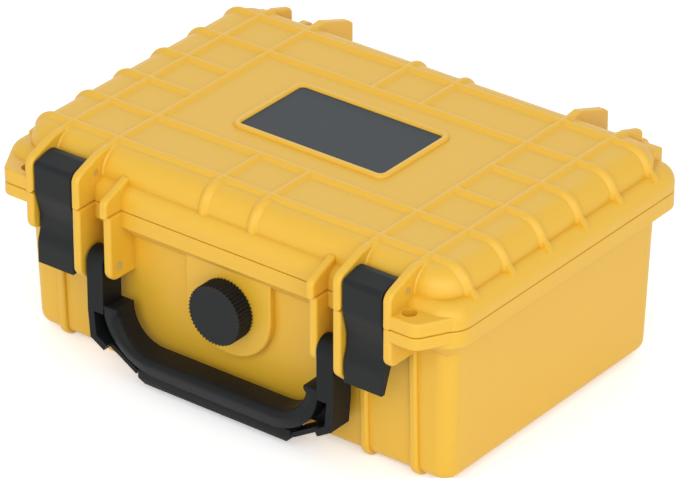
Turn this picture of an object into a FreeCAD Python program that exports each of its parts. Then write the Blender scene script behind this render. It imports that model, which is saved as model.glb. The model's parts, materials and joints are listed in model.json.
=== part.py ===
import FreeCAD, Part
import math
import os
import re

import Sketcher

# A small hard case: a drafted box and a ribbed lid that meet at a flange, hinged at the back (+Y),
# held by two draw latches at the front (-Y), with a folding handle and a purge valve between them.
# Millimetres, +Z up, origin under the middle of the box on the surface that it stands on.

DRIVING_SIZES = {
    # Flange where box and lid meet
    "flange_width": 206.0,
    "flange_depth": 140.0,
    "flange_corner": 10.0,
    "flange_edge": 0.5,
    "parting_height": 68.0,
    "parting_gap": 0.3,
    # Lid
    "lid_rise": 17.7,
    "shoulder_share": 0.497,
    "shoulder_radius": 6.0,
    "crown_inset_side": 5.4,
    "crown_inset_front": 4.4,
    "crown_corner": 12.0,
    "crown_radius": 8.5,
    "lid_wall": 3.2,
    # Box
    "box_inset_side": 5.8,
    "box_inset_front": 6.4,
    "box_corner": 6.5,
    "box_draft": 1.6,
    "box_bottom_radius": 5.0,
    "hollow_bottom_radius": 3.0,
    "box_wall": 3.2,
    "box_flange_height": 6.2,
    # Runners under the box, which rise up its front and back
    "runner_height": 1.5,
    "runner_drop": 8.0,
    "runner_proud": 1.5,
    "runner_tuck": 0.3,
    "runner_foot_radius": 6.5,
    # Ribs on the lid
    "rib_crest": 1.4,
    "cross_rib_crest": 1.3,
    "rib_top_width": 3.0,
    "rib_foot_width": 5.6,
    "rib_root": 0.4,
    "rib_edge": 11.45,
    "rib_margin": 16.75,
    "latch_bay": 21.8,
    "short_rib_x": 11.1,
    # Fins that guard the latches
    "fin_width": 3.5,
    "fin_edge": 1.2,
    "fin_run": 15.6,
    "fin_sink": 0.4,
    "fin_rise": 1.1,
    "fin_bend_inset": 1.6,
    "fin_bend_radius": 18.0,
    "lid_fin_reach": 9.5,
    "fin_nose_drop": 5.8,
    "fin_nose_radius": 4.5,
    "box_fin_reach": 9.3,
    "outer_fin_drop": 15.5,
    "inner_fin_drop": 25.5,
    "inner_fin_heel_reach": 7.4,
    "inner_fin_heel_fall": 7.5,
    "inner_fin_heel_drop": 2.0,
    "fin_foot_radius": 4.0,
    "rear_fin_setback": 2.0,
    "rear_fin_rise": 0.5,
    "rear_fin_proud": 2.4,
    "rear_fin_drop": 3.9,
    "rear_fin_radius": 2.5,
    # Lugs that carry the handle
    "handle_bay": 12.3,
    "lid_lug_reach": 8.9,
    "lid_lug_inset": 4.0,
    "lid_lug_rise": 2.9,
    "lid_lug_face": 6.5,
    "lid_lug_radius": 3.0,
    "box_lug_reach": 6.9,
    "box_lug_drop": 26.7,
    "box_lug_radius": 4.5,
    # Padlock ears at the front corners
    "ear_reach": 9.2,
    "ear_bend_inset": 10.0,
    "ear_side_inset": 0.6,
    "ear_side_setback": 7.0,
    "ear_corner": 5.0,
    "lid_ear_height": 5.5,
    "box_ear_height": 4.8,
    "ear_edge": 0.8,
    "padlock_offset": 5.2,
    "padlock_gap": 0.15,
    "padlock_radius": 2.8,
    # Hinges
    "hinge_reach": 6.5,
    "hinge_drop": 1.5,
    "hinge_pin_radius": 2.0,
    "hinge_eye": 4.5,
    "hinge_arm_margin": 0.5,
    "hinge_arm_run": 2.0,
    "hinge_arm_fall": 4.4,
    "hinge_low_arm_fall": 1.1,
    "hinge_span": 18.55,
    "hinge_side_gap": 0.4,
    "hinge_arm_bevel": 1.6,
    "hinge_notch": 1.0,
    "hinge_web_drop": 18.0,
    "hinge_pin_end": 2.2,
    "eye_rounding": 0.98,
    # Latches
    "latch_pivot_inset": 0.7,
    "latch_pivot_rise": 2.4,
    "latch_boss_radius": 3.3,
    "latch_pin_radius": 1.5,
    "latch_side_gap": 0.5,
    "latch_reach": 8.9,
    "latch_shoulder_rise": 1.4,
    "latch_waist_depth": 2.3,
    "latch_lip_depth": 0.7,
    "latch_thickness": 5.4,
    "latch_hook_gap": 0.4,
    "latch_hook_fall": 10.5,
    "latch_hook_rise": 3.0,
    "latch_hook_drop": 0.5,
    "latch_back_rise": 5.0,
    "latch_front_rise": 11.0,
    "latch_waist_rise": 2.0,
    "latch_waist_drop": 4.0,
    "latch_lip_drop": 9.0,
    "latch_lip_width": 1.6,
    "latch_bevel_drop": 7.0,
    "latch_inset": 0.9,
    "latch_top_flat": 1.2,
    "latch_tail": 17.7,
    "latch_corner": 2.25,
    "latch_waist_radius": 10.0,
    "latch_edge": 0.7,
    # Handle
    "handle_reach": 2.0,
    "handle_drop": 21.1,
    "handle_pin_radius": 2.0,
    "handle_eye": 5.2,
    "handle_side_gap": 0.3,
    "handle_outer_gap": 1.2,
    "handle_bend_height": 14.7,
    "handle_ledge": 5.2,
    "handle_inner_bend": 0.92,
    "handle_corner_rise": 13.2,
    "handle_corner_radius": 5.0,
    "handle_edge": 0.9,
    "grip_bottom": 3.8,
    "grip_height": 12.5,
    "grip_proud": 4.3,
    "grip_setback": 10.95,
    "grip_edge": 4.0,
    "grip_taper": 4.0,
    "rim_width": 3.0,
    "slot_rise": 10.3,
    "slot_fall": 5.5,
    "slot_run": 12.5,
    # Purge valve
    "valve_drop": 25.5,
    "valve_boss_half_width": 19.3,
    "valve_boss_proud": 2.4,
    "valve_boss_bend": 0.98,
    "valve_boss_edge": 0.8,
    "valve_boss_depth": 6.2,
    "knob_radius": 11.8,
    "knob_reach": 7.7,
    "knob_gap": 0.3,
    "knob_edge": 0.9,
    "knob_teeth": 60.0,
    "knob_tooth_depth": 0.5,
    "knob_skin": 2.2,
    "stem_radius": 3.0,
    "stem_tail": 0.5,
    "bush_radius": 5.0,
    "bush_reach": 4.8,
    "nut_height": 3.0,
    "nut_radius": 8.2,
    "washer_height": 0.8,
    "washer_radius": 8.8,
    "seal_radius": 7.5,
    "seal_cord_radius": 1.0,
    # Name plate
    "plate_width": 64.5,
    "plate_depth": 36.8,
    "plate_corner": 1.8,
    "plate_sink": 0.5,
    "plate_height": 0.9,
    "plate_gap": 0.1,
    "frame_width": 2.8,
    "frame_height": 1.3,
    "frame_edge": 1.1,
    # Gasket in the lid
    "gasket_inset": 3.8,
    "gasket_width": 2.8,
    "gasket_height": 1.8,
    "gasket_gap": 0.1,
    "tongue_width": 1.4,
    "tongue_height": 1.0,
    # Fits
    "press_clearance": 0.02,
    "running_clearance": 0.05,
}

DERIVED_SIZES = {
    # Flange faces
    "flange_side": "flange_width / 2",
    "flange_front": "flange_depth / 2",
    # Lid
    "lid_floor": "parting_height + parting_gap",
    "field_height": "lid_floor + lid_rise",
    "shoulder_height": "lid_floor + lid_rise * shoulder_share",
    "crown_side": "flange_side - crown_inset_side",
    "crown_front": "flange_front - crown_inset_front",
    "crown_x": "crown_side - crown_radius",
    "crown_y": "crown_front - crown_radius",
    "crown_z": "field_height - crown_radius",
    # Box and runners
    "box_side": "flange_side - box_inset_side",
    "box_front": "flange_front - box_inset_front",
    "box_flange_slope": "box_inset_side + flange_edge",
    "runner_top": "parting_height - runner_drop",
    "runner_top_reach": "box_front + runner_proud",
    "runner_foot_reach": "box_front - runner_tuck",
    # Ribs
    "rib_outer_y": "crown_front - rib_edge",
    "rib_pitch": "rib_outer_y / 2.5",
    "rib_inner_y": "rib_pitch / 2",
    "rib_middle_y": "rib_pitch * 1.5",
    "rib_foot_height": "shoulder_height - shoulder_radius / 2",
    "outer_rib_x": "crown_side - rib_margin",
    "inner_rib_x": "outer_rib_x - latch_bay",
    # Fins
    "fin_start": "crown_front - fin_run",
    "fin_start_height": "field_height - fin_sink",
    "fin_top_bend": "crown_front - fin_bend_inset",
    "fin_top_height": "field_height + fin_rise",
    "lid_fin_front": "flange_front + lid_fin_reach",
    "fin_nose_height": "fin_top_height - fin_nose_drop",
    "box_fin_front": "flange_front + box_fin_reach",
    "box_fin_root": "box_front - box_wall - flange_edge",
    "outer_fin_foot": "parting_height - outer_fin_drop",
    "inner_fin_foot": "parting_height - inner_fin_drop",
    "inner_fin_heel": "box_front + inner_fin_heel_reach",
    "inner_fin_heel_height": "inner_fin_foot - inner_fin_heel_fall",
    "rear_fin_bend": "fin_top_bend - rear_fin_setback",
    "rear_fin_top": "field_height + rear_fin_rise",
    "rear_fin_reach": "flange_front + rear_fin_proud",
    "rear_fin_height": "fin_top_height - rear_fin_drop",
    # Lugs and ears
    "lug_x": "inner_rib_x - handle_bay",
    "lid_lug_front": "flange_front + lid_lug_reach",
    "lid_lug_root": "flange_front - lid_lug_inset",
    "lid_lug_top": "shoulder_height + lid_lug_rise",
    "lid_lug_nose": "lid_floor + lid_lug_face",
    "box_lug_front": "flange_front + box_lug_reach",
    "box_lug_foot": "parting_height - box_lug_drop",
    "ear_front": "flange_front + ear_reach",
    "ear_bend": "flange_side - ear_bend_inset",
    "ear_side": "flange_side - ear_side_inset",
    "ear_side_start": "flange_front - ear_side_setback",
    "padlock_x": "outer_rib_x + padlock_offset",
    "padlock_y": "flange_front + padlock_radius + padlock_gap",
    # Hinges
    "hinge_y": "flange_front + hinge_reach",
    "hinge_height": "parting_height - hinge_drop",
    "hinge_arm_reach": "hinge_y + hinge_eye + hinge_arm_margin",
    "hinge_arm_bend": "hinge_arm_reach - hinge_arm_run",
    "hinge_arm_top": "field_height - hinge_arm_fall",
    "hinge_outer_arm_top": "shoulder_height - hinge_low_arm_fall",
    "hinge_outer_arm_x": "inner_rib_x + hinge_span",
    "hinge_web_foot": "parting_height - hinge_web_drop",
    "hinge_web_start": "inner_rib_x + fin_width / 2 + hinge_side_gap",
    "hinge_web_end": "hinge_outer_arm_x - fin_width / 2 - hinge_side_gap",
    # Latches
    "latch_x": "(outer_rib_x + inner_rib_x) / 2",
    "latch_width": "outer_rib_x - inner_rib_x - fin_width - 2 * latch_side_gap",
    "latch_pivot_y": "flange_front - latch_pivot_inset",
    "latch_pivot_height": "shoulder_height + latch_pivot_rise",
    "latch_front": "flange_front + latch_reach",
    "latch_shoulder": "latch_pivot_height + latch_shoulder_rise",
    "latch_waist": "latch_front - latch_waist_depth",
    "latch_lip": "latch_front - latch_lip_depth",
    "latch_back": "latch_front - latch_thickness",
    "latch_hook": "flange_front + latch_hook_gap",
    "latch_hook_height": "parting_height - latch_hook_fall",
    "latch_foot": "latch_hook_height - latch_tail",
    # Handle
    "handle_pivot_y": "flange_front + handle_reach",
    "handle_pivot_height": "parting_height - handle_drop",
    "handle_inner_arm": "lug_x + fin_width / 2 + handle_side_gap",
    "handle_outer_arm": "inner_rib_x - fin_width / 2 - handle_outer_gap",
    "handle_front": "handle_pivot_y + handle_eye",
    "handle_back": "handle_pivot_y - handle_eye",
    "handle_top": "handle_pivot_height + handle_eye",
    "grip_top": "grip_bottom + grip_height",
    "grip_front": "handle_front + grip_proud",
    "handle_shoulder": "grip_top + handle_bend_height",
    "handle_corner_height": "grip_bottom + handle_corner_rise",
    "handle_inner_x": "handle_inner_arm - handle_ledge",
    "grip_half_length": "handle_inner_x - grip_setback",
    # Purge valve
    "valve_height": "parting_height - valve_drop",
    "valve_boss_front": "box_front + valve_boss_proud",
    "valve_seat": "valve_boss_front - valve_boss_depth",
    "knob_back": "valve_boss_front + knob_gap",
    "knob_front": "valve_boss_front + knob_reach",
    "stem_front": "knob_front - knob_skin",
    "bush_end": "valve_seat - bush_reach",
    "stem_end": "bush_end - stem_tail",
    "washer_back": "valve_seat - gasket_gap - washer_height",
    "nut_front": "washer_back - gasket_gap",
    # Gasket
    "gasket_bottom": "parting_height + tongue_height + parting_gap",
}

SIDES = {"left": -1, "right": 1}
TOLERANCE = 1e-4
QUARTER_TURN = 90
HEXAGON_SIDES = 6
NODES = ["base_shell", "lid_shell", "lid_gasket", "name_plate", "hinge_pin_left", "hinge_pin_right",
         "latch_left", "latch_right", "latch_pin_left", "latch_pin_right", "handle", "handle_pin_left",
         "handle_pin_right", "valve_knob", "valve_stem", "valve_seal_ring", "valve_bush", "valve_washer",
         "valve_lock_nut"]

doc = FreeCAD.newDocument("hard_case")
sheet = doc.addObject("Spreadsheet::Sheet", "Sizes")


def fill_sheet():
    """One row per size: its name, and its number or formula under an alias of the same name."""
    cells = {name: str(size) for name, size in DRIVING_SIZES.items()}
    cells.update({name: "=" + formula for name, formula in DERIVED_SIZES.items()})
    for row, (name, content) in enumerate(cells.items(), start=1):
        sheet.set(f"A{row}", name)
        sheet.set(f"B{row}", content)
        sheet.setAlias(f"B{row}", name)
    doc.recompute()


def bound(formula):
    """The formula with each size's name pointing at the sheet."""
    return re.sub("[a-z_]+", lambda word: "Sizes." + word.group(), str(formula))


def value(formula):
    return float(sheet.evalExpression(bound(formula)))


def same(first, second):
    return abs(first - second) < TOLERANCE


def sketch_on(body, role, offset, rise="0"):
    """An empty sketch on one of the body's own planes, moved along the plane's normal and up."""
    plane = next(item for item in body.Origin.OriginFeatures if item.Role == role)
    sketch = body.newObject("Sketcher::SketchObject", body.Name + "_sketch")
    sketch.AttachmentSupport = (plane, [""])
    sketch.MapMode = "FlatFace"
    sketch.setExpression("AttachmentOffset.Base.y", bound(rise))
    sketch.setExpression("AttachmentOffset.Base.z", bound(offset))
    return sketch


def bind(sketch, kind, *place):
    """A constraint whose last argument is a formula on the sheet."""
    formula = place[-1]
    index = sketch.addConstraint(Sketcher.Constraint(kind, *place[:-1], value(formula)))
    sketch.setExpression(f"Constraints[{index}]", bound(formula))


def bind_point(sketch, item, end, u, v):
    bind(sketch, "DistanceX", -1, 1, item, end, u)
    bind(sketch, "DistanceY", -1, 1, item, end, v)


def add_loop(sketch, corners):
    """A closed loop of straight sides, with both coordinates of each corner bound."""
    first = sketch.GeometryCount
    count = len(corners)
    points = [FreeCAD.Vector(value(u), value(v), 0) for u, v in corners]
    for start, end in zip(points, points[1:] + points[:1]):
        sketch.addGeometry(Part.LineSegment(start, end))
    for step in range(count):
        following = first + (step + 1) % count
        sketch.addConstraint(Sketcher.Constraint("Coincident", first + step, 2, following, 1))
    for step, (u, v) in enumerate(corners):
        bind_point(sketch, first + step, 1, u, v)


def add_circle(sketch, radius, u="0", v="0"):
    centre = FreeCAD.Vector(value(u), value(v), 0)
    index = sketch.addGeometry(Part.Circle(centre, FreeCAD.Vector(0, 0, 1), value(radius)))
    bind(sketch, "Radius", index, radius)
    bind_point(sketch, index, 3, u, v)


def rectangle(half_width, half_depth):
    return [(f"-({half_width})", f"-({half_depth})"), (half_width, f"-({half_depth})"),
            (half_width, half_depth), (f"-({half_width})", half_depth)]


def pad(body, sketch, length, symmetric=False, downward=False, taper=None):
    feature = body.newObject("PartDesign::Pad", body.Name + "_pad")
    feature.Profile = sketch
    feature.SideType = "Symmetric" if symmetric else "One side"
    feature.Reversed = downward
    feature.setExpression("Length", bound(length))
    if taper:
        feature.setExpression("TaperAngle", bound(taper))
    doc.recompute()
    return feature


def soften(body, wanted, size, kind="Fillet"):
    """Rounds the edges of the body's tip that the test picks out, or chamfers them."""
    base = body.Tip
    names = [f"Edge{index}" for index, edge in enumerate(base.Shape.Edges, start=1) if wanted(edge)]
    if not names:
        raise RuntimeError(f"{body.Label}: no edge to soften by {size}")
    feature = body.newObject(f"PartDesign::{kind}", f"{body.Name}_{kind.lower()}")
    feature.Base = (base, names)
    feature.setExpression("Radius" if kind == "Fillet" else "Size", bound(size))
    doc.recompute()
    return feature


def level(axis, *formulas):
    """Tests for an edge that lies whole at one of the given places on an axis."""
    places = [value(formula) for formula in formulas]

    def test(edge):
        low, high = getattr(edge.BoundBox, axis + "Min"), getattr(edge.BoundBox, axis + "Max")
        return any(same(low, place) and same(high, place) for place in places)
    return test


def upright(edge):
    """Tests for an edge that rises between the loops of a pad along Z, drafted or not."""
    box = edge.BoundBox
    return box.ZLength > max(box.XLength, box.YLength) + TOLERANCE


def through(axes, corners):
    """Tests for an edge square to two axes that passes through one of the corners on them."""
    places = [(value(first), value(second)) for first, second in corners]

    def test(edge):
        box = edge.BoundBox
        lows = [getattr(box, axis + "Min") for axis in axes]
        flat = all(getattr(box, axis + "Length") < TOLERANCE for axis in axes)
        return flat and any(same(lows[0], u) and same(lows[1], v) for u, v in places)
    return test


def new_body(name):
    return doc.addObject("PartDesign::Body", name)


def block(name, half_width, half_depth, bottom, height, corner, taper=None, downward=False):
    """A block with rounded upright edges, the form of the box, the lid and their hollows."""
    body = new_body(name)
    sketch = sketch_on(body, "XY_Plane", bottom)
    add_loop(sketch, rectangle(half_width, half_depth))
    pad(body, sketch, height, taper=taper, downward=downward)
    soften(body, upright, corner)
    return body


def ring(name, half_width, half_depth, wall, bottom, height, corner):
    """A rounded rectangular ring; its wall lies inside the given half sizes and outer corner."""
    body = new_body(name)
    sketch = sketch_on(body, "XY_Plane", bottom)
    add_loop(sketch, rectangle(half_width, half_depth))
    add_loop(sketch, rectangle(f"{half_width} - ({wall})", f"{half_depth} - ({wall})"))
    pad(body, sketch, height)
    outside = level("X", half_width, f"-({half_width})")
    soften(body, lambda edge: upright(edge) and outside(edge), corner)
    inside = level("X", f"{half_width} - ({wall})", f"-({half_width} - ({wall}))")
    soften(body, lambda edge: upright(edge) and inside(edge), f"{corner} - ({wall})")
    return body


def slab(name, corners, x, width, rounded=(), edge=None):
    """A plate square to X with an outline in Y and Z, some corners rounded and its rims softened."""
    body = new_body(name)
    sketch = sketch_on(body, "YZ_Plane", x)
    add_loop(sketch, corners)
    pad(body, sketch, width, symmetric=True)
    for radius, places in rounded:
        soften(body, through("YZ", places), radius)
    if edge:
        soften(body, level("X", f"{x} - ({width}) / 2", f"{x} + ({width}) / 2"), edge)
    return body


def front_plate(name, corners, back, front, rounded=()):
    """A plate square to Y with an outline in X and Z; front and back are distances towards -Y."""
    body = new_body(name)
    sketch = sketch_on(body, "XZ_Plane", back)
    add_loop(sketch, corners)
    pad(body, sketch, f"{front} - ({back})")
    for radius, places in rounded:
        soften(body, through("XZ", places), radius)
    return body


def place_at(item, turn, x, y, z):
    item.Placement.Rotation = turn
    for axis, formula in zip("xyz", (x, y, z)):
        item.setExpression(f"Placement.Base.{axis}", bound(formula))


TURN_TO_X = FreeCAD.Rotation(FreeCAD.Vector(0, 1, 0), QUARTER_TURN)
TURN_TO_Y = FreeCAD.Rotation(FreeCAD.Vector(1, 0, 0), -QUARTER_TURN)
NO_TURN = FreeCAD.Rotation()


def cylinder(name, radius, length, turn, x, y, z):
    bar = doc.addObject("Part::Cylinder", name)
    bar.setExpression("Radius", bound(radius))
    bar.setExpression("Height", bound(length))
    place_at(bar, turn, x, y, z)
    return bar


def rod(name, radius, start, end, y, z):
    """A round bar along X."""
    return cylinder(name, radius, f"{end} - ({start})", TURN_TO_X, start, y, z)


def disc(name, radius, front, back):
    """A round bar on the valve's axis; front and back are distances towards -Y."""
    return cylinder(name, radius, f"{front} - ({back})", TURN_TO_Y, "0", f"-({front})", "valve_height")


def mirror(name, source, normal):
    copy = doc.addObject("Part::Mirroring", name)
    copy.Source = source
    copy.Normal = normal
    return copy


ACROSS_X = FreeCAD.Vector(1, 0, 0)
ACROSS_Y = FreeCAD.Vector(0, 1, 0)


def pair(source, normal):
    return [source, mirror(source.Name + "_mirrored", source, normal)]


def fuse(name, pieces):
    joined = doc.addObject("Part::MultiFuse", name)
    joined.Shapes = pieces
    joined.Refine = True
    return joined


def cut(name, solid, tools):
    """The solid less all the tools, which may lie apart from each other."""
    result = doc.addObject("Part::Cut", name)
    result.Base = solid
    result.Tool = tools[0] if len(tools) == 1 else fuse(name + "_tools", tools)
    result.Refine = True
    doc.recompute()
    return result


def add_line(path, start, end):
    points = [FreeCAD.Vector(value(u), value(v), 0) for u, v in (start, end)]
    index = path.addGeometry(Part.LineSegment(*points))
    bind_point(path, index, 1, *start)
    bind_point(path, index, 2, *end)


def add_crown_arc(path, place, turn):
    """A quarter circle between the flat stretch's end at a place and the foot of the crown."""
    centre = FreeCAD.Vector(value(place), value("crown_z"), 0)
    circle = Part.Circle(centre, FreeCAD.Vector(0, 0, 1), value("crown_radius"))
    span = (0, math.pi / 2) if turn > 0 else (math.pi / 2, math.pi)
    index = path.addGeometry(Part.ArcOfCircle(circle, *span))
    bind_point(path, index, 3, place, "crown_z")
    on_flat, at_foot = (2, 1) if turn > 0 else (1, 2)
    bind_point(path, index, on_flat, place, "field_height")
    path.addConstraint(Sketcher.Constraint("Horizontal", index, at_foot, index, 3))


def add_rib_section(section, wall, place, crest, along_x):
    """A level section with slanting sides and a round crest, its root sunk into the wall."""
    bend = f"({crest}) / 2"
    sides = [("-rib_foot_width / 2", "-rib_root"), ("-rib_top_width / 2", bend),
             ("rib_top_width / 2", bend), ("rib_foot_width / 2", "-rib_root")]

    def spot(sideways, outward):
        spread, depth = f"{place} + {sideways}", f"{wall} + {outward}"
        return (depth, spread) if along_x else (spread, depth)

    def point(corner):
        return FreeCAD.Vector(value(corner[0]), value(corner[1]), 0)

    corners = [spot(*side) for side in sides]
    points = [point(corner) for corner in corners]
    section.addGeometry(Part.LineSegment(points[0], points[1]))
    section.addGeometry(Part.Arc(points[1], point(spot("0", crest)), points[2]))
    section.addGeometry(Part.LineSegment(points[2], points[3]))
    section.addGeometry(Part.LineSegment(points[3], points[0]))
    for item, end, corner in [(0, 1, 0), (0, 2, 1), (2, 1, 2), (2, 2, 3), (3, 1, 3), (3, 2, 0)]:
        bind_point(section, item, end, *corners[corner])
    circle_radius = f"((rib_top_width / 2) ^ 2 + ({bend}) ^ 2) / (2 * {bend})"
    arc_starts_low = section.getPoint(1, 1).distanceToPoint(points[1]) < TOLERANCE
    low, high = (1, 2) if arc_starts_low else (2, 1)
    section.addConstraint(Sketcher.Constraint("Coincident", 1, low, 0, 2))
    section.addConstraint(Sketcher.Constraint("Coincident", 1, high, 2, 1))
    bind(section, "Radius", 1, circle_radius)


def rib(name, along_x, place, flat_start, flat_end, crest, both_ends):
    """A rib swept up from the shoulder over the crown, along its flat stretch, and down again if asked."""
    body = new_body(name)
    path_offset = f"-({place})" if along_x else place
    path = sketch_on(body, "XZ_Plane" if along_x else "YZ_Plane", path_offset)
    near_wall = f"{flat_end} + crown_radius"
    far_wall = f"{flat_start} - crown_radius"
    add_line(path, (near_wall, "rib_foot_height"), (near_wall, "crown_z"))
    add_crown_arc(path, flat_end, 1)
    add_line(path, (flat_end, "field_height"), (flat_start, "field_height"))
    if both_ends:
        add_crown_arc(path, flat_start, -1)
        add_line(path, (far_wall, "crown_z"), (far_wall, "rib_foot_height"))
    section = sketch_on(body, "XY_Plane", "rib_foot_height")
    add_rib_section(section, near_wall, place, crest, along_x)
    doc.recompute()
    sweep = body.newObject("PartDesign::AdditivePipe", name + "_sweep")
    sweep.Profile = section
    sweep.Spine = (path, [f"Edge{index + 1}" for index in range(path.GeometryCount)])
    doc.recompute()
    return body


def lid_ribs():
    ribs = []
    for name, y in {"outer": "rib_outer_y", "middle": "rib_middle_y"}.items():
        source = rib(f"long_rib_{name}", True, y, "-crown_x", "crown_x", "rib_crest", True)
        ribs += pair(source, ACROSS_Y)
    source = rib("long_rib_inner", True, "rib_inner_y", "inner_rib_x", "crown_x", "rib_crest", False)
    for piece in pair(source, ACROSS_Y):
        ribs += pair(piece, ACROSS_X)
    for name, x in {"outer": "outer_rib_x", "inner": "inner_rib_x"}.items():
        source = rib(f"cross_rib_{name}", False, x, "-crown_y", "crown_y", "cross_rib_crest", True)
        ribs += pair(source, ACROSS_X)
    source = rib("cross_rib_short", False, "short_rib_x", "rib_middle_y", "crown_y",
                 "cross_rib_crest", False)
    for piece in pair(source, ACROSS_X):
        ribs += pair(piece, ACROSS_Y)
    return ribs


def lid_fins():
    """The lid's fins at the front, its short rear fins, the hinge arms and the upper handle lugs."""
    nose = ("-lid_fin_front", "fin_nose_height")
    bend = ("-fin_top_bend", "fin_top_height")
    front = [("-fin_start", "lid_floor"), ("-fin_start", "fin_start_height"), bend, nose,
             ("-lid_fin_front", "lid_floor")]
    front_rounds = [("fin_bend_radius", [bend]), ("fin_nose_radius", [nose])]

    rear_bend = ("fin_top_bend", "fin_top_height")
    rear_corner = ("rear_fin_reach", "rear_fin_height")
    rear = [("fin_start", "lid_floor"), ("fin_start", "fin_start_height"),
            ("rear_fin_bend", "rear_fin_top"), rear_corner, ("rear_fin_reach", "lid_floor")]
    rear_rounds = [("rear_fin_radius", [rear_corner])]

    eye_bottom = "hinge_height - hinge_eye"
    eye_front = "hinge_y - hinge_eye"
    eye_corners = [("hinge_arm_reach", eye_bottom), (eye_front, eye_bottom)]
    arm_corner = ("hinge_arm_bend", "hinge_arm_top")
    arm_shoulder = ("hinge_arm_reach", "hinge_arm_top - hinge_arm_bevel")
    arm = [("fin_start", "lid_floor + hinge_notch"), ("fin_start", "fin_start_height"), rear_bend, arm_corner,
           arm_shoulder, *eye_corners, (eye_front, "lid_floor + hinge_notch")]
    low_corner = ("hinge_arm_reach", "hinge_outer_arm_top")
    low_arm = [("fin_start", "lid_floor + hinge_notch"), ("fin_start", "hinge_outer_arm_top"), low_corner,
               *eye_corners, (eye_front, "lid_floor + hinge_notch")]
    eye_rounds = ("hinge_eye * eye_rounding", eye_corners)

    lug_nose = ("-lid_lug_front", "lid_lug_nose")
    lug = [("-fin_start", "lid_floor"), ("-fin_start", "lid_lug_top"), ("-lid_lug_root", "lid_lug_top"),
           lug_nose, ("-lid_lug_front", "lid_floor")]

    sources = [slab("lid_fin_outer", front, "outer_rib_x", "fin_width", front_rounds, "fin_edge"),
               slab("lid_fin_inner", front, "inner_rib_x", "fin_width", front_rounds, "fin_edge"),
               slab("lid_fin_rear", rear, "outer_rib_x", "fin_width", rear_rounds, "fin_edge"),
               slab("hinge_arm", arm, "inner_rib_x", "fin_width", [eye_rounds], "fin_edge / 2"),
               slab("hinge_arm_low", low_arm, "hinge_outer_arm_x", "fin_width",
                    [eye_rounds, ("fin_nose_radius", [low_corner])], "fin_edge / 2"),
               slab("lid_lug", lug, "lug_x", "fin_width", [("lid_lug_radius", [lug_nose])], "fin_edge")]
    return [piece for source in sources for piece in pair(source, ACROSS_X)]


def ears(name, bottom, height):
    """A pair of padlock ears at the front corners."""
    body = new_body(name)
    sketch = sketch_on(body, "XY_Plane", bottom)
    corner = ("ear_bend", "-ear_front")
    side = ("ear_side", "-ear_side_start")
    add_loop(sketch, [("outer_rib_x", "-fin_start"), ("outer_rib_x", "-ear_front"), corner, side,
                      ("ear_side", "-fin_start")])
    pad(body, sketch, height)
    soften(body, through("XY", [corner, side]), "ear_corner")
    soften(body, level("Z", bottom, f"{bottom} + {height}"), "ear_edge")
    return pair(body, ACROSS_X)


def padlock_holes(name):
    holes = []
    for side, sign in SIDES.items():
        holes.append(cylinder(f"{name}_{side}", "padlock_radius", "field_height", NO_TURN,
                              f"{sign} * padlock_x", "-padlock_y", "0"))
    return holes


def pin_holes(name, radius, start, end, y, z):
    """A pair of holes along X, one on each side."""
    return pair(rod(name, radius, start, end, y, z), ACROSS_X)


def gasket_ring(name, width, bottom, height):
    """A ring on the gasket's line, which keeps its middle whatever its width."""
    inset = f"gasket_inset + gasket_width / 2 - ({width}) / 2"
    return ring(name, f"flange_side - ({inset})", f"flange_front - ({inset})", width, bottom, height,
                f"flange_corner - ({inset})")


def build_lid():
    flange = block("lid_flange", "flange_side", "flange_front", "lid_floor",
                   "shoulder_height - lid_floor", "flange_corner")
    soften(flange, level("Z", "shoulder_height"), "shoulder_radius")
    soften(flange, level("Z", "lid_floor"), "flange_edge")
    crown = block("lid_crown", "crown_side", "crown_front", "lid_floor",
                  "field_height - lid_floor", "crown_corner")
    soften(crown, level("Z", "field_height"), "crown_radius")
    frame = ring("plate_frame", "plate_width / 2 + plate_gap + frame_width",
                 "plate_depth / 2 + plate_gap + frame_width", "frame_width", "field_height - lid_wall",
                 "lid_wall + frame_height", "plate_corner + frame_width")
    soften(frame, level("Z", "field_height + frame_height"), "frame_edge")
    pieces = [flange, crown, frame, *lid_ribs(), *lid_fins(), *ears("lid_ear", "lid_floor", "lid_ear_height")]
    outside = fuse("lid_outside", pieces)

    hollow = block("lid_hollow", "crown_side - lid_wall", "crown_front - lid_wall",
                   "parting_height", "field_height - lid_wall - parting_height", "crown_corner - lid_wall")
    soften(hollow, level("Z", "field_height - lid_wall"), "crown_radius - lid_wall")
    plate_seat = block("plate_seat", "plate_width / 2 + plate_gap", "plate_depth / 2 + plate_gap",
                       "field_height - plate_sink", "frame_height", "plate_corner + plate_gap")
    groove = gasket_ring("gasket_groove", "gasket_width + 2 * gasket_gap", "parting_height",
                         "gasket_bottom + gasket_height + gasket_gap - parting_height")
    tools = [hollow, plate_seat, groove, *padlock_holes("lid_padlock_hole"),
             *pin_holes("latch_pin_hole", "latch_pin_radius + press_clearance", "inner_rib_x - fin_width",
                        "outer_rib_x + fin_width", "-latch_pivot_y", "latch_pivot_height"),
             *pin_holes("lid_hinge_hole", "hinge_pin_radius + running_clearance",
                        "inner_rib_x - fin_width", "hinge_outer_arm_x + fin_width", "hinge_y",
                        "hinge_height")]
    return cut("lid_shell", outside, tools)


def build_lid_fittings():
    gasket_ring("lid_gasket", "gasket_width", "gasket_bottom", "gasket_height")
    block("name_plate", "plate_width / 2", "plate_depth / 2", "field_height - plate_sink", "plate_height",
          "plate_corner")


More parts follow.
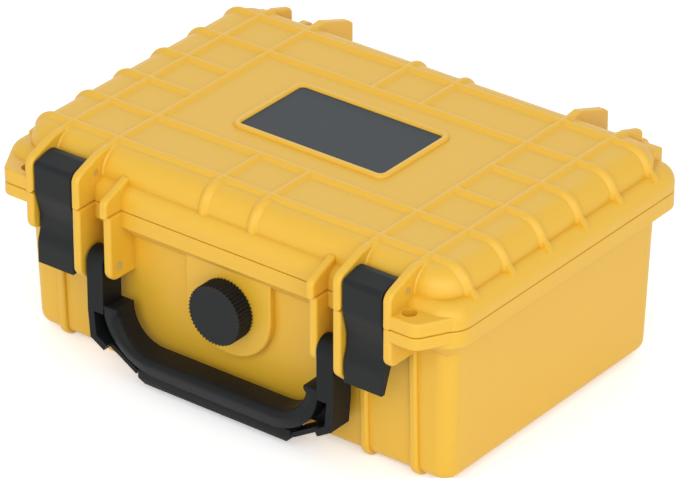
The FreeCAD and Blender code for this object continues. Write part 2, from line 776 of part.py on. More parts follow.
def box_fins():
    """The box's fins, its handle lugs, the runners under it and the hinge webs at the back."""
    top = "parting_height"
    outer_foot = ("-box_fin_front", "outer_fin_foot")
    outer = [("-box_fin_root", top), ("-box_fin_front", top), outer_foot, ("-box_fin_root", "outer_fin_foot")]
    inner_foot = ("-box_fin_front", "inner_fin_foot")
    heel = ("-inner_fin_heel", "inner_fin_heel_height")
    inner = [("-box_fin_root", top), ("-box_fin_front", top), inner_foot, heel,
             ("-box_fin_root", "inner_fin_heel_height - inner_fin_heel_drop")]
    lug_foot = ("-box_lug_front", "box_lug_foot")
    lug = [("-box_fin_root", top), ("-box_lug_front", top), lug_foot, ("-box_fin_root", "box_lug_foot")]
    runner_feet = [("-runner_foot_reach", "0"), ("runner_foot_reach", "0")]
    runner = [("-runner_top_reach", "runner_top"), *runner_feet, ("runner_top_reach", "runner_top")]

    eye_low, eye_high = "hinge_height - hinge_eye", "hinge_height + hinge_eye"
    eye_rear, eye_front = "hinge_y + hinge_eye", "hinge_y - hinge_eye"
    eye_corners = [(eye_rear, eye_low), (eye_rear, eye_high), (eye_front, eye_high)]
    web_top = "hinge_height - hinge_side_gap"
    web = [("box_fin_root", "hinge_web_foot"), ("flange_front", "hinge_web_foot + hinge_eye"),
           *eye_corners, (eye_front, web_top), ("box_fin_root", web_top)]

    feet = "fin_foot_radius"
    sources = [slab("box_fin_outer", outer, "outer_rib_x", "fin_width", [(feet, [outer_foot])], "fin_edge"),
               slab("box_fin_inner", inner, "inner_rib_x", "fin_width", [(feet, [inner_foot, heel])],
                    "fin_edge"),
               slab("box_lug", lug, "lug_x", "fin_width", [("box_lug_radius", [lug_foot])], "fin_edge"),
               slab("runner_outer", runner, "outer_rib_x", "fin_width",
                    [("runner_foot_radius", runner_feet)], "fin_edge"),
               slab("runner_inner", runner, "inner_rib_x", "fin_width",
                    [("runner_foot_radius", runner_feet)], "fin_edge"),
               slab("hinge_web", web, "(hinge_web_start + hinge_web_end) / 2",
                    "hinge_web_end - hinge_web_start", [("hinge_eye * eye_rounding", eye_corners)],
                    "fin_edge / 2")]
    return [piece for source in sources for piece in pair(source, ACROSS_X)]


def valve_boss():
    """A pad on the box's front with a round foot, which runs up into the flange."""
    foot = [("-valve_boss_half_width", "valve_height - valve_boss_half_width"),
            ("valve_boss_half_width", "valve_height - valve_boss_half_width")]
    top = "parting_height - box_flange_height / 2"
    outline = [*foot, ("valve_boss_half_width", top), ("-valve_boss_half_width", top)]
    boss = front_plate("valve_boss", outline, "valve_seat", "valve_boss_front",
                       [("valve_boss_half_width * valve_boss_bend", foot)])
    soften(boss, level("Y", "-valve_boss_front"), "valve_boss_edge")
    return boss


def build_box():
    flange_bottom = "parting_height - box_flange_height - box_flange_slope"
    flange = block("box_flange", "flange_side", "flange_front", flange_bottom,
                   "box_flange_height + box_flange_slope", "flange_corner")
    soften(flange, level("Z", flange_bottom), "box_flange_slope", "Chamfer")
    soften(flange, level("Z", "parting_height"), "flange_edge")
    wall = block("box_outside_wall", "box_side", "box_front", "parting_height - flange_edge",
                 "parting_height - flange_edge - runner_height", "box_corner", "-box_draft", True)
    soften(wall, level("Z", "runner_height"), "box_bottom_radius")
    tongue = gasket_ring("gasket_tongue", "tongue_width", "parting_height - flange_edge",
                         "tongue_height + flange_edge")
    pieces = [flange, wall, tongue, valve_boss(), *box_fins(),
              *ears("box_ear", "parting_height - box_ear_height", "box_ear_height")]
    outside = fuse("box_outside", pieces)

    hollow = block("box_hollow", "box_side - box_wall", "box_front - box_wall", "lid_floor",
                   "lid_floor - runner_height - box_wall", "box_corner - box_wall", "-box_draft", True)
    soften(hollow, level("Z", "runner_height + box_wall"), "hollow_bottom_radius")
    tools = [hollow, disc("valve_spot_face", "washer_radius + gasket_gap", "valve_seat", "bush_end"),
             disc("bush_hole", "bush_radius + press_clearance", "knob_front", "bush_end"),
             *padlock_holes("box_padlock_hole"),
             *pin_holes("handle_pin_hole", "handle_pin_radius + press_clearance", "lug_x - fin_width",
                        "inner_rib_x + fin_width / 2 - flange_edge", "-handle_pivot_y",
                        "handle_pivot_height"),
             *pin_holes("box_hinge_hole", "hinge_pin_radius + press_clearance",
                        "hinge_web_start - hinge_side_gap", "hinge_web_end + hinge_side_gap", "hinge_y",
                        "hinge_height")]
    return cut("base_shell", outside, tools)


def build_latches():
    hook = "latch_hook_height"
    boss_back = "-latch_pivot_y + latch_boss_radius"
    boss_top = "latch_pivot_height + latch_boss_radius"
    boss_bottom = "latch_pivot_height - latch_boss_radius"
    boss_corners = [(boss_back, boss_bottom), (boss_back, boss_top)]
    shoulder = ("-latch_front", "latch_shoulder")
    inner_back = "-latch_back + latch_inset"
    waist = [("-latch_front", f"{hook} + latch_front_rise"), ("-latch_waist", f"{hook} + latch_waist_rise"),
             ("-latch_waist", f"{hook} - latch_waist_drop"), ("-latch_lip", f"{hook} - latch_lip_drop")]
    outline = [*boss_corners, ("-latch_pivot_y - latch_top_flat", boss_top), shoulder, *waist,
               ("-latch_lip", "latch_foot"), ("-latch_lip + latch_lip_width", "latch_foot"),
               (inner_back, f"{hook} - latch_bevel_drop"), (inner_back, f"{hook} - latch_hook_drop"),
               ("-latch_hook", hook), ("-latch_hook", f"{hook} + latch_hook_rise"),
               ("-latch_back", f"{hook} + latch_back_rise"), ("-latch_back", boss_bottom)]
    rounds = [("latch_boss_radius * eye_rounding", boss_corners), ("latch_corner", [shoulder]),
              ("latch_waist_radius", waist)]
    source = slab("latch_solid", outline, "latch_x", "latch_width", rounds, "latch_edge")
    bore = rod("latch_bore", "latch_pin_radius + running_clearance", "inner_rib_x", "outer_rib_x",
               "-latch_pivot_y", "latch_pivot_height")
    right = cut("latch_right", source, [bore])
    mirror("latch_left", right, ACROSS_X)
    pin = rod("latch_pin_right", "latch_pin_radius", "inner_rib_x - fin_width / 2",
              "outer_rib_x + fin_width / 2", "-latch_pivot_y", "latch_pivot_height")
    mirror("latch_pin_left", pin, ACROSS_X)


def build_hinge_pins():
    pin = rod("hinge_pin_right", "hinge_pin_radius", "inner_rib_x - hinge_pin_end",
              "hinge_outer_arm_x + hinge_pin_end", "hinge_y", "hinge_height")
    mirror("hinge_pin_left", pin, ACROSS_X)


def build_handle():
    low_corner = ("handle_outer_arm", "handle_corner_height")
    outer = [("handle_outer_arm", "handle_top"), low_corner, ("grip_half_length", "grip_bottom")]
    root = ("handle_inner_x", "grip_top")
    inner = [root, ("handle_inner_x", "handle_shoulder"), ("handle_inner_arm", "handle_shoulder"),
             ("handle_inner_arm", "handle_top")]

    def other_side(corners):
        return [(f"-({x})", z) for x, z in reversed(corners)]

    outline = [*outer, *other_side(outer), *other_side(inner), *inner]
    low_corners = [low_corner, *other_side([low_corner])]
    bow = front_plate("handle_bow", outline, "handle_back", "handle_front",
                      [("(handle_shoulder - grip_top) * handle_inner_bend", [root, *other_side([root])]),
                       ("handle_corner_radius", low_corners)])
    tops = [("-handle_back", "handle_top"), ("-handle_front", "handle_top")]
    soften(bow, through("YZ", tops), "handle_eye * eye_rounding")
    soften(bow, level("Y", "-handle_front", "-handle_back"), "handle_edge")

    grip_back = "handle_back + handle_edge"
    grip_outline = [("-grip_half_length", "grip_bottom"), ("grip_half_length", "grip_bottom"),
                    ("grip_half_length", "grip_top"), ("-grip_half_length", "grip_top")]
    grip = front_plate("handle_grip", grip_outline, grip_back, "grip_front")
    grip_ends = [("-grip_half_length", "-grip_front"), ("grip_half_length", "-grip_front")]
    soften(grip, through("XY", grip_ends), "grip_taper", "Chamfer")
    front_edges = [("-grip_front", "grip_bottom"), ("-grip_front", "grip_top")]
    soften(grip, through("YZ", front_edges), "grip_edge")
    solid = fuse("handle_solid", [bow, grip])

    rim = "handle_outer_arm - rim_width"
    slot = [(f"{rim} - slot_run", "handle_corner_height - slot_fall"),
            (rim, "handle_corner_height + rim_width / 2"), (rim, "handle_corner_height + slot_rise")]
    slot_tool = front_plate("handle_slot", slot, "handle_back - handle_eye", "handle_front + handle_eye")
    tools = [*pair(slot_tool, ACROSS_X),
             *pin_holes("handle_bore", "handle_pin_radius + running_clearance", "lug_x",
                        "inner_rib_x", "-handle_pivot_y", "handle_pivot_height")]
    cut("handle", solid, tools)
    pin = rod("handle_pin_right", "handle_pin_radius", "lug_x - fin_width / 2",
              "inner_rib_x + fin_width / 2 - flange_edge", "-handle_pivot_y", "handle_pivot_height")
    mirror("handle_pin_left", pin, ACROSS_X)


def valve_ring(name, outer, inner, front, back):
    """A round ring on the valve's axis; front and back are distances towards -Y."""
    body = new_body(name)
    sketch = sketch_on(body, "XZ_Plane", back, "valve_height")
    add_circle(sketch, outer)
    add_circle(sketch, inner)
    pad(body, sketch, f"{front} - ({back})")
    return body


def toothed_knob():
    body = new_body("knob_solid")
    sketch = sketch_on(body, "XZ_Plane", "knob_back", "valve_height")
    add_circle(sketch, "knob_radius")
    pad(body, sketch, "knob_front - knob_back")
    soften(body, level("Y", "-knob_front"), "knob_edge")
    notch = sketch_on(body, "XZ_Plane", "knob_back", "valve_height")
    add_loop(notch, [("0", "knob_radius - knob_tooth_depth"),
                     ("knob_tooth_depth", "knob_radius + knob_tooth_depth"),
                     ("-knob_tooth_depth", "knob_radius + knob_tooth_depth")])
    pocket = body.newObject("PartDesign::Pocket", "knob_notch")
    pocket.Profile = notch
    pocket.Reversed = True
    pocket.setExpression("Length", bound("knob_front - knob_back"))
    doc.recompute()
    pattern = body.newObject("PartDesign::PolarPattern", "knob_teeth_pattern")
    pattern.Originals = [pocket]
    pattern.Axis = (notch, ["N_Axis"])
    pattern.setExpression("Occurrences", bound("knob_teeth"))
    body.Tip = pattern
    doc.recompute()
    return body


def build_valve():
    groove = valve_ring("seal_groove", "seal_radius + seal_cord_radius + gasket_gap",
                        "seal_radius - seal_cord_radius - gasket_gap",
                        "knob_back + 2 * seal_cord_radius", "valve_boss_front")
    socket = disc("stem_socket", "stem_radius + press_clearance", "stem_front + press_clearance",
                  "valve_boss_front")
    cut("valve_knob", toothed_knob(), [groove, socket])
    disc("valve_stem", "stem_radius", "stem_front", "stem_end")

    seal = doc.addObject("Part::Torus", "valve_seal_ring")
    seal.setExpression("Radius1", bound("seal_radius"))
    seal.setExpression("Radius2", bound("seal_cord_radius"))
    place_at(seal, TURN_TO_Y, "0", "-valve_boss_front - seal_cord_radius - running_clearance", "valve_height")

    valve_ring("valve_bush", "bush_radius", "stem_radius + running_clearance",
               "valve_boss_front - gasket_gap", "bush_end")
    valve_ring("valve_washer", "washer_radius", "bush_radius + running_clearance",
               "valve_seat - gasket_gap", "washer_back")
    hexagon = doc.addObject("Part::Prism", "nut_hexagon")
    hexagon.Polygon = HEXAGON_SIDES
    hexagon.setExpression("Circumradius", bound("nut_radius"))
    hexagon.setExpression("Height", bound("nut_height"))
    place_at(hexagon, TURN_TO_Y, "0", "-nut_front", "valve_height")
    cut("valve_lock_nut", hexagon, [disc("nut_bore", "bush_radius + running_clearance", "valve_seat", "0")])


def export_nodes():
    doc.recompute()
    for item in doc.Objects:
        if "Invalid" in item.State or "Error" in item.State:
            raise RuntimeError(f"{item.Name} did not build: {item.State}")
    os.makedirs("parts", exist_ok=True)
    for name in NODES:
        node = doc.getObject(name)
        if node.Shape.isNull() or not node.Shape.isValid() or not node.Shape.Solids:
            raise RuntimeError(f"{name} has no sound shape")
        node.Label = name
        node.Shape.exportStep(f"parts/{name}.step")


fill_sheet()
build_lid()
build_lid_fittings()
build_box()
build_latches()
build_hinge_pins()
build_handle()
build_valve()
export_nodes()
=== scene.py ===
import json
import math

import bmesh
import bpy
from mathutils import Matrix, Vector


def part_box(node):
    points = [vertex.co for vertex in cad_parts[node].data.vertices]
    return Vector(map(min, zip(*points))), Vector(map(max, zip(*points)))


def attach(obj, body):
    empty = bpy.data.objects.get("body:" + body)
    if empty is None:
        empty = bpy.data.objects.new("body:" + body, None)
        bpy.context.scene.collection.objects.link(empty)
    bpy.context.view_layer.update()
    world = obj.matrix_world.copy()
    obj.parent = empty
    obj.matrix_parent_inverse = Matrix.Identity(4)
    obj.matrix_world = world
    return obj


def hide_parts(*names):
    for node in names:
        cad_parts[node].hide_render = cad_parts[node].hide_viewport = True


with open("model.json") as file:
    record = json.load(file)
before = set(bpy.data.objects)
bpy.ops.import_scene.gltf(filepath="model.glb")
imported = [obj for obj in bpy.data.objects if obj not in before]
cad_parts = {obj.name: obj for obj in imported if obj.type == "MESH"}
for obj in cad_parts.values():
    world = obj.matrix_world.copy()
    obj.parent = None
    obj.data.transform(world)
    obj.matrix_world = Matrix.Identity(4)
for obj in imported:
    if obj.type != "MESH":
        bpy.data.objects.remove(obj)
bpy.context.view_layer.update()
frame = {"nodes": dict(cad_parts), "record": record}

# The looks of a small hard case: its moulded plastics, steel pins and rubber seals, the carrying
# handle modelled in full, and a plain studio. Metres throughout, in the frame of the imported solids.

nodes = frame["nodes"]
MM = 0.001

# Carrying handle, worked out from the solid that it stands for
handle_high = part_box("handle")[1]
ARM_DEPTH = 10.4 * MM
ARM_WIDTH = 7.3 * MM
ARM_FOOT = 27.5 * MM
EYE_SHARE = 0.49
EYE_STEPS = 10
BAND_LEDGE = 6.2 * MM
BAND_TOP = 31.2 * MM
BAND_START = 6.4 * MM
BAND_END = 8.6 * MM
BAND_PROUD = 1.9 * MM
BAND_UNDERCUT = 3.8 * MM
BEND_RADIUS = 13.9 * MM
BEND_STEPS = 9
GRIP_TOP = 16.3 * MM
RIM_WIDTH = 2.8 * MM
RIM_BEND = 16.2 * MM
RIM_TAPER = 0.9 * MM
RIM_STEP_IN = 7.2 * MM
RIM_STEP_OUT = 21.5 * MM
RIM_RUN_DEPTH = 0.73
RIM_RUN_THIN = 0.65
BAR_LENGTH = 35.0 * MM
BAR_FOOT = 2.7 * MM
BAR_HEIGHT = 6.0 * MM
BAR_SETBACK = 2.1 * MM
BAR_LEAN = 1.2 * MM
BAR_END_FALL = 2.4 * MM
WEB_DEPTH = 2.4 * MM
WEB_FOOT = 12.4 * MM
WEB_SLANT = 4.4 * MM
BORE_RADIUS = 2.05 * MM
BORE_SIDES = 40
OVERRUN = 4.0 * MM
SOFT_EDGE = 0.4 * MM
SOFT_STEPS = 2
SHARPEST_FLAT = math.radians(30)
GRIP_ROUND = 3.7 * MM
GRIP_STEPS = 6
STAGGER = 0.15 * MM
WELD = 0.02 * MM
HANDLE_SMOOTH = math.radians(32)


def finish_of(name):
    """A new material with its node tree and its shader."""
    finish = bpy.data.materials.new(name)
    finish.use_nodes = True
    tree = finish.node_tree
    return finish, tree, tree.nodes["Principled BSDF"]


def add_node(tree, kind, sockets=None, **settings):
    """A node with its settings and the plain values of its sockets."""
    node = tree.nodes.new(kind)
    for name, setting in settings.items():
        setattr(node, name, setting)
    for name, content in (sockets or {}).items():
        node.inputs[name].default_value = content
    return node


def map_range(tree, source, target):
    """A node that carries one range of values over to another."""
    return add_node(tree, "ShaderNodeMapRange", {"From Min": source[0], "From Max": source[1],
                                                 "To Min": target[0], "To Max": target[1]})


def new_group(name, inputs, outputs):
    """A node group with plain number or vector inputs and number outputs."""
    group = bpy.data.node_groups.new(name, "ShaderNodeTree")
    for socket, kind in inputs.items():
        group.interface.new_socket(socket, in_out="INPUT", socket_type=kind)
    for socket in outputs:
        group.interface.new_socket(socket, in_out="OUTPUT", socket_type="NodeSocketFloat")
    return group, group.nodes.new("NodeGroupInput"), group.nodes.new("NodeGroupOutput")


def moulded_grain():
    """Fine spark-eroded grain for bump and roughness, and a broad mottle for colour."""
    group, given, made = new_group("moulded_grain", {"Place": "NodeSocketVector", "Grain": "NodeSocketFloat",
                                                     "Cloud": "NodeSocketFloat"}, ["Height", "Mottle"])
    fine = add_node(group, "ShaderNodeTexNoise", {"Detail": 4.0, "Roughness": 0.65})
    pits = add_node(group, "ShaderNodeTexVoronoi", feature="SMOOTH_F1")
    blend = add_node(group, "ShaderNodeMath", operation="MULTIPLY_ADD")
    blend.inputs[1].default_value = 0.45
    broad = add_node(group, "ShaderNodeTexNoise", {"Detail": 2.0, "Roughness": 0.5})
    for texture, scale in ((fine, "Grain"), (pits, "Grain"), (broad, "Cloud")):
        group.links.new(given.outputs["Place"], texture.inputs["Vector"])
        group.links.new(given.outputs[scale], texture.inputs["Scale"])
    group.links.new(pits.outputs["Distance"], blend.inputs[0])
    group.links.new(fine.outputs["Fac"], blend.inputs[2])
    group.links.new(blend.outputs["Value"], made.inputs["Height"])
    group.links.new(broad.outputs["Fac"], made.inputs["Mottle"])
    return group


def painted_edge_highlight():
    """A mask for a painted highlight along rounded and sharp outer edges, broken up by noise."""
    group, given, made = new_group("painted_edge_highlight", {"Place": "NodeSocketVector", "Width": "NodeSocketFloat"},
                                   ["Mask"])
    rounded = add_node(group, "ShaderNodeBevel", samples=2)
    surface = add_node(group, "ShaderNodeNewGeometry")
    match = add_node(group, "ShaderNodeVectorMath", operation="DOT_PRODUCT")
    lift = map_range(group, (0.99, 0.8), (0.0, 1.0))
    breakup = add_node(group, "ShaderNodeTexNoise", {"Scale": 260.0, "Detail": 3.0})
    patchy = map_range(group, (0.35, 0.6), (0.35, 1.0))
    mask = add_node(group, "ShaderNodeMath", operation="MULTIPLY")
    group.links.new(given.outputs["Width"], rounded.inputs["Radius"])
    group.links.new(rounded.outputs["Normal"], match.inputs[0])
    group.links.new(surface.outputs["Normal"], match.inputs[1])
    group.links.new(match.outputs["Value"], lift.inputs["Value"])
    group.links.new(given.outputs["Place"], breakup.inputs["Vector"])
    group.links.new(breakup.outputs["Fac"], patchy.inputs["Value"])
    group.links.new(lift.outputs["Result"], mask.inputs[0])
    group.links.new(patchy.outputs["Result"], mask.inputs[1])
    group.links.new(mask.outputs["Value"], made.inputs["Mask"])
    return group


def painted_crease_shade():
    """A mask for painted shade, which grows in inner corners and at the feet of ribs and fins."""
    group, given, made = new_group("painted_crease_shade", {"Reach": "NodeSocketFloat"}, ["Mask"])
    hollow = add_node(group, "ShaderNodeAmbientOcclusion", samples=2, only_local=True)
    turned = map_range(group, (0.95, 0.35), (0.0, 1.0))
    group.links.new(given.outputs["Reach"], hollow.inputs["Distance"])
    group.links.new(hollow.outputs["AO"], turned.inputs["Value"])
    group.links.new(turned.outputs["Result"], made.inputs["Mask"])
    return group


GRAIN = moulded_grain()
EDGE_HIGHLIGHT = painted_edge_highlight()
CREASE_SHADE = painted_crease_shade()
TEXTURE_RANGE = (0.25, 0.95)
CLOUD_SCALE = 22.0
CLOUD_SHARE = 0.6
CREASE_SHADE_SHARE = 0.55
CREASE_SHADE_REACH = 3.0 * MM
EDGE_WIDTH = 0.6 * MM
GRAIN_HEIGHT = 0.08 * MM
FIELD_ABOVE_PLATE_FOOT = 0.5 * MM
FIELD_BAND = 0.12 * MM


def use_group(tree, group, place=None, **values):
    """A node group in a tree, with its values and the place that its textures read."""
    node = add_node(tree, "ShaderNodeGroup", node_tree=group)
    for name, number in values.items():
        node.inputs[name].default_value = number
    if place:
        tree.links.new(place.outputs["Object"], node.inputs["Place"])
    return node


def tint(tree, mask, under, colour, strength):
    """Mixes a colour over what lies under it, as far as the mask and the strength say."""
    share = add_node(tree, "ShaderNodeMath", operation="MULTIPLY")
    share.inputs[1].default_value = strength
    tree.links.new(mask, share.inputs[0])
    mixed = add_node(tree, "ShaderNodeMix", data_type="RGBA")
    mixed.inputs["B"].default_value = (*colour, 1)
    tree.links.new(share.outputs["Value"], mixed.inputs["Factor"])
    if isinstance(under, tuple):
        mixed.inputs["A"].default_value = (*under, 1)
    else:
        tree.links.new(under, mixed.inputs["A"])
    return mixed.outputs["Result"]


def remap(tree, source, low, high):
    """Carries a texture's usual values over to a range of roughness."""
    level = map_range(tree, TEXTURE_RANGE, (low, high))
    tree.links.new(source, level.inputs["Value"])
    return level.outputs["Result"]


def moulded_plastic(name, colour, cloud, crease_shade, edge_highlight, rough, grain, bump, edge_highlight_share, sheen, haze=0.0):
    """A satin moulded plastic: grain, broad colour change, painted shade in creases and painted highlights
    on edges.
    """
    finish, tree, shader = finish_of(name)
    place = add_node(tree, "ShaderNodeTexCoord")
    skin = use_group(tree, GRAIN, place, Grain=grain, Cloud=CLOUD_SCALE)
    edge = use_group(tree, EDGE_HIGHLIGHT, place, Width=EDGE_WIDTH)
    crease_shade_node = use_group(tree, CREASE_SHADE, Reach=CREASE_SHADE_REACH)
    base = tint(tree, skin.outputs["Mottle"], colour, cloud, CLOUD_SHARE)
    # Painted shade: the crease colour is mixed in where the occlusion mask finds inner corners.
    base = tint(tree, crease_shade_node.outputs["Mask"], base, crease_shade, CREASE_SHADE_SHARE)
    # Painted highlight: a paler colour mixed in along the outer edges.
    base = tint(tree, edge.outputs["Mask"], base, edge_highlight, edge_highlight_share)
    tree.links.new(base, shader.inputs["Base Color"])
    tree.links.new(remap(tree, skin.outputs["Height"], *rough), shader.inputs["Roughness"])
    shader.inputs["Specular IOR Level"].default_value = sheen
    shader.inputs["Sheen Weight"].default_value = haze
    relief = add_node(tree, "ShaderNodeBump", {"Strength": bump, "Distance": GRAIN_HEIGHT})
    tree.links.new(skin.outputs["Height"], relief.inputs["Height"])
    tree.links.new(relief.outputs["Normal"], shader.inputs["Normal"])
    return finish


def frost_and_sheen_fields(finish, height, frost_and_sheen, strength, roughness):
    """Makes the flat top fields of the lid more matt than the smooth ribs around them, and tints them paler:
    partly their own matt texture, partly a painted sheen of the light from above.
    """
    tree = finish.node_tree
    shader = tree.nodes["Principled BSDF"]
    place = add_node(tree, "ShaderNodeTexCoord")
    axes = add_node(tree, "ShaderNodeSeparateXYZ")
    level = add_node(tree, "ShaderNodeMath", operation="COMPARE")
    level.inputs[1].default_value = height
    level.inputs[2].default_value = FIELD_BAND
    tree.links.new(place.outputs["Object"], axes.inputs["Vector"])
    tree.links.new(axes.outputs["Z"], level.inputs[0])
    under = shader.inputs["Base Color"].links[0].from_socket
    # Partly painted sheen: the paler tint on the top fields also stands for light falling from above.
    tree.links.new(tint(tree, level.outputs["Value"], under, frost_and_sheen, strength), shader.inputs["Base Color"])
    matt = add_node(tree, "ShaderNodeMath", operation="MULTIPLY_ADD")
    matt.inputs[1].default_value = roughness
    tree.links.new(level.outputs["Value"], matt.inputs[0])
    tree.links.new(shader.inputs["Roughness"].links[0].from_socket, matt.inputs[2])
    tree.links.new(matt.outputs["Value"], shader.inputs["Roughness"])


def drawn_steel():
    """Plain steel pin stock with fine draw lines along its length."""
    finish, tree, shader = finish_of("drawn_steel")
    place = add_node(tree, "ShaderNodeTexCoord")
    stretch = add_node(tree, "ShaderNodeMapping", {"Scale": (60.0, 2400.0, 2400.0)})
    lines = add_node(tree, "ShaderNodeTexNoise", {"Scale": 1.0, "Detail": 3.0})
    tree.links.new(place.outputs["Object"], stretch.inputs["Vector"])
    tree.links.new(stretch.outputs["Vector"], lines.inputs["Vector"])
    base = tint(tree, lines.outputs["Fac"], (0.80, 0.80, 0.79), (0.62, 0.62, 0.61), 0.7)
    tree.links.new(base, shader.inputs["Base Color"])
    tree.links.new(remap(tree, lines.outputs["Fac"], 0.28, 0.45), shader.inputs["Roughness"])
    shader.inputs["Metallic"].default_value = 1.0
    return finish


# In the finishes below, the crease colour is painted shade and the edge colour is a painted highlight.
YELLOW = moulded_plastic("yellow_plastic", colour=(0.79, 0.452, 0.018), cloud=(0.81, 0.472, 0.028),
                         crease_shade=(0.60, 0.335, 0.001), edge_highlight=(0.88, 0.54, 0.07), rough=(0.40, 0.52),
                         grain=1500.0, bump=0.10, edge_highlight_share=0.25, sheen=0.72, haze=0.05)
BLACK = moulded_plastic("black_plastic", colour=(0.008, 0.0095, 0.0105), cloud=(0.011, 0.012, 0.013),
                        crease_shade=(0.003, 0.003, 0.0035), edge_highlight=(0.045, 0.047, 0.050), rough=(0.38, 0.55),
                        grain=1700.0, bump=0.16, edge_highlight_share=0.4, sheen=0.22)
PLATE = moulded_plastic("plate_plastic", colour=(0.030, 0.038, 0.045), cloud=(0.036, 0.044, 0.051),
                        crease_shade=(0.012, 0.014, 0.016), edge_highlight=(0.10, 0.11, 0.12), rough=(0.48, 0.62),
                        grain=2600.0, bump=0.14, edge_highlight_share=0.35, sheen=0.26)
# A darker copy of the black plastic for the handle: painted shade for the grip under the lid's flange.
HANDLE_SHADED_BLACK = moulded_plastic("handle_plastic_shaded", colour=(0.006, 0.007, 0.0078), cloud=(0.008, 0.009, 0.010),
                               crease_shade=(0.0015, 0.0015, 0.0018), edge_highlight=(0.035, 0.037, 0.040), rough=(0.42, 0.58),
                               grain=1700.0, bump=0.16, edge_highlight_share=0.4, sheen=0.18)
RUBBER = moulded_plastic("seal_rubber", colour=(0.014, 0.014, 0.014), cloud=(0.020, 0.019, 0.018),
                         crease_shade=(0.006, 0.006, 0.006), edge_highlight=(0.04, 0.04, 0.04), rough=(0.65, 0.85),
                         grain=1900.0, bump=0.2, edge_highlight_share=0.2, sheen=0.3)
STEEL = drawn_steel()
field_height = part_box("name_plate")[0].z + FIELD_ABOVE_PLATE_FOOT
# The top fields get a paler tint, partly their matt texture and partly painted sheen.
frost_and_sheen_fields(YELLOW, field_height, frost_and_sheen=(0.78, 0.468, 0.040), strength=0.7, roughness=0.10)
FINISHES = {"yellow_plastic": YELLOW, "black_plastic": BLACK, "plate_plastic": PLATE, "pin_steel": STEEL,
            "seal_rubber": RUBBER}


def dress_solids():
    """Gives every carried-over solid the finish of its slot."""
    for row in frame["record"]["subparts"]:
        skin = nodes[row["node"]].data.materials
        skin.clear()
        skin.append(FINISHES[row["material_slot"]])


def begin(name, low, high):
    """A block between two corners, open for editing."""
    bpy.ops.object.select_all(action="DESELECT")
    bpy.ops.mesh.primitive_cube_add(size=1, location=(low + high) / 2, scale=high - low)
    piece = bpy.context.active_object
    bpy.ops.object.transform_apply(location=True, rotation=True, scale=True)
    piece.name = name
    piece.data.name = name
    bpy.ops.object.mode_set(mode="EDIT")
    return piece


def pick(piece, kind, wanted):
    """Selects the faces, edges or corners that pass a test, and nothing else."""
    bpy.ops.mesh.select_mode(type=kind)
    bpy.ops.mesh.select_all(action="DESELECT")
    form = bmesh.from_edit_mesh(piece.data)
    form.normal_update()
    for item in {"FACE": form.faces, "EDGE": form.edges, "VERT": form.verts}[kind]:
        if wanted(item):
            item.select_set(True)
    form.select_flush_mode()
    bmesh.update_edit_mesh(piece.data)


def push(x, z):
    """Draws the picked faces out by a distance across and up."""
    bpy.ops.mesh.extrude_region_move(TRANSFORM_OT_translate={"value": (x, 0, z)})


def stretch_depth(factor, back):
    """Makes the picked faces deeper or shallower from front to back, with the back kept."""
    bpy.ops.transform.resize(value=(1, factor, 1), center_override=(0, back, 0))


def swing(angle, pivot):
    """Turns the picked faces about an axis from front to back, from the right side downwards."""
    bpy.ops.transform.rotate(value=-angle, orient_axis="Y", center_override=pivot)


def finish_block(piece, width=SOFT_EDGE):
    """Closes editing and softens all the edges."""
    bpy.ops.object.mode_set(mode="OBJECT")
    edge = piece.modifiers.new("soft_edges", "BEVEL")
    edge.width = width
    edge.segments = SOFT_STEPS
    edge.limit_method = "ANGLE"
    edge.angle_limit = SHARPEST_FLAT
    bpy.ops.object.modifier_apply(modifier=edge.name)
    weld(piece)


def weld(piece):
    """Joins corners that lie on one another and turns all the faces outwards."""
    bpy.ops.object.select_all(action="DESELECT")
    bpy.context.view_layer.objects.active = piece
    piece.select_set(True)
    bpy.ops.object.mode_set(mode="EDIT")
    bpy.ops.mesh.select_all(action="SELECT")
    bpy.ops.mesh.remove_doubles(threshold=WELD)
    bpy.ops.mesh.dissolve_degenerate(threshold=WELD)
    bpy.ops.mesh.normals_make_consistent(inside=False)
    bpy.ops.object.mode_set(mode="OBJECT")


def same(first, second):
    """Whether two lengths are equal within the reading of a mesh."""
    return abs(first - second) < 0.01 * MM


def hand_over(piece, finish, body, node=None):
    """Gives a finished piece its finish and the body that it moves with, and hides the solid that it stands
    for.
    """
    piece.data.materials.clear()
    piece.data.materials.append(finish)
    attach(piece, body)
    if node:
        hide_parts(node)


